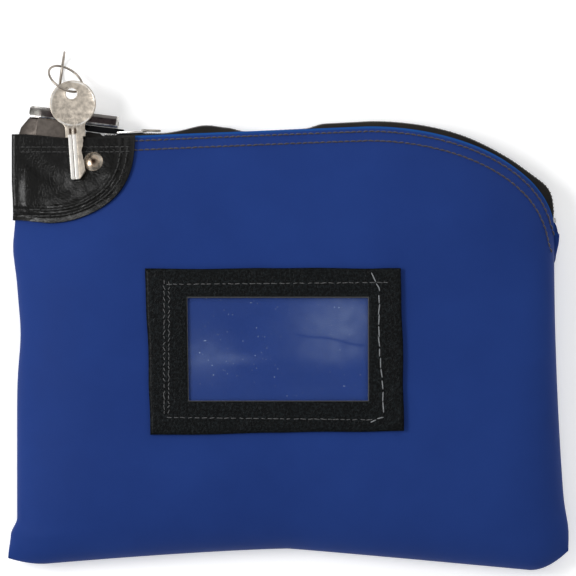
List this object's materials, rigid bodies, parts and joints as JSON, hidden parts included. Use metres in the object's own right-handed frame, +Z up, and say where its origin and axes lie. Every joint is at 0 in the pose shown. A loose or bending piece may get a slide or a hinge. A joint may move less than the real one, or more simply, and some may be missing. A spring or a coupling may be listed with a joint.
{
  "type": "cash deposit bag",
  "caption": "Flat cloth pouch with a curved zip top, a leather corner holding a push-to-lock cylinder lock, a framed card window, and a key on rings",
  "frame": {"origin": "on the table, at the middle of the flat face the bag's back rests on", "axes": "+X along the zip away from the lock, +Y out of the mouth, +Z up out of the front panel"},
  "size_m": [0.2784, 0.2554, 0.0315],
  "materials": {
    "bag_cloth": "matte coated woven cloth",
    "binding_tape": "woven tape",
    "zip_tape": "woven",
    "zip_teeth": "moulded",
    "zip_stops": "pressed",
    "corner_leather": "glossy grain",
    "window_frame": "grained vinyl",
    "window_film": "clear soft film",
    "sleeve_metal": "zinc die casting",
    "rivet_nickel": "nickel plated",
    "lock_metal": "antique nickel",
    "steel": "bright",
    "spring_steel": "drawn wire",
    "brass": "machined",
    "slider_metal": "nickel plated",
    "catch_black": "glossy black",
    "tab_metal": "polished",
    "key_nickel": "worn nickel",
    "ring_steel": "drawn wire"
  },
  "bodies": {
    "bag": {"front_panel": "bag_cloth", "back_panel": "bag_cloth", "seam_binding": "binding_tape", "front_zip_tape": "zip_tape", "back_zip_tape": "zip_tape", "front_zip_teeth": "zip_teeth", "back_zip_teeth": "zip_teeth", "zip_top_stops": "zip_stops", "zip_bottom_stop": "zip_stops", "corner_leather": "corner_leather", "window_frame": "window_frame", "window_film": "window_film", "lock_sleeve": "sleeve_metal", "corner_rivet": "rivet_nickel", "rivet_washer": "rivet_nickel", "return_spring": "spring_steel"},
    "lock": {"lock_barrel": "lock_metal", "lock_hood": "lock_metal", "hood_screws": "steel", "barrel_cover": "lock_metal", "chamber_strip": "brass", "driver_pins": "steel", "pin_springs": "spring_steel", "dog_spring": "spring_steel"},
    "plug": {"key_plug": "brass", "key_pins": "brass", "plug_cam": "steel", "cam_stud": "steel"},
    "dog": {"locking_dog": "steel"},
    "slider": {"zip_slider": "slider_metal", "slider_catch": "catch_black", "tab_pin": "steel"},
    "tab": {"pull_tab": "tab_metal"},
    "key": {"key": "key_nickel"},
    "ring": {"key_ring": "ring_steel"},
    "spare_ring": {"spare_ring": "ring_steel"}
  },
  "joints": [
    {"name": "lock_press", "type": "slide", "parent": "bag", "child": "lock", "axis": [0.1236, 0.9923, 0], "range_m": [-0.0032, 0], "stiffness_N_per_m": 900, "springref_m": 0.002, "deforming": ["return_spring"]},
    {"name": "plug_turn", "type": "hinge", "parent": "lock", "child": "plug", "pos_m": [-0.11968, 0.10537, 0.009], "axis": [0.1236, 0.9923, 0], "range_deg": [0, 90]},
    {"name": "dog_retract", "type": "slide", "parent": "lock", "child": "dog", "axis": [0.9923, -0.1236, 0], "range_m": [0, 0.0016], "deforming": ["dog_spring"]},
    {"name": "slider_slide", "type": "slide", "parent": "bag", "child": "slider", "axis": [0.9986, 0.0531, 0], "range_m": [0, 0.11]},
    {"name": "tab_flip", "type": "hinge", "parent": "slider", "child": "tab", "pos_m": [-0.07107, 0.10724, 0.009], "axis": [0, 0, 1], "range_deg": [0, 102]},
    {"name": "key_lift", "type": "slide", "parent": "bag", "child": "key", "axis": [0, 0, 1], "range_m": [0, 0.05]},
    {"name": "ring_swing", "type": "hinge", "parent": "key", "child": "ring", "pos_m": [-0.10649, 0.12605, 0.01794], "axis": [0.7723, -0.0124, -0.6351], "range_deg": [-17, 9]},
    {"name": "spare_ring_swing", "type": "hinge", "parent": "ring", "child": "spare_ring", "pos_m": [-0.11275, 0.13928, 0.00706], "axis": [-0.8441, 0.1641, 0.5104], "range_deg": [-30, 30]}
  ],
  "couplings": [
    {"joint": "dog_retract", "follows": "plug_turn", "m_per_rad": 0.0010186}
  ]
}
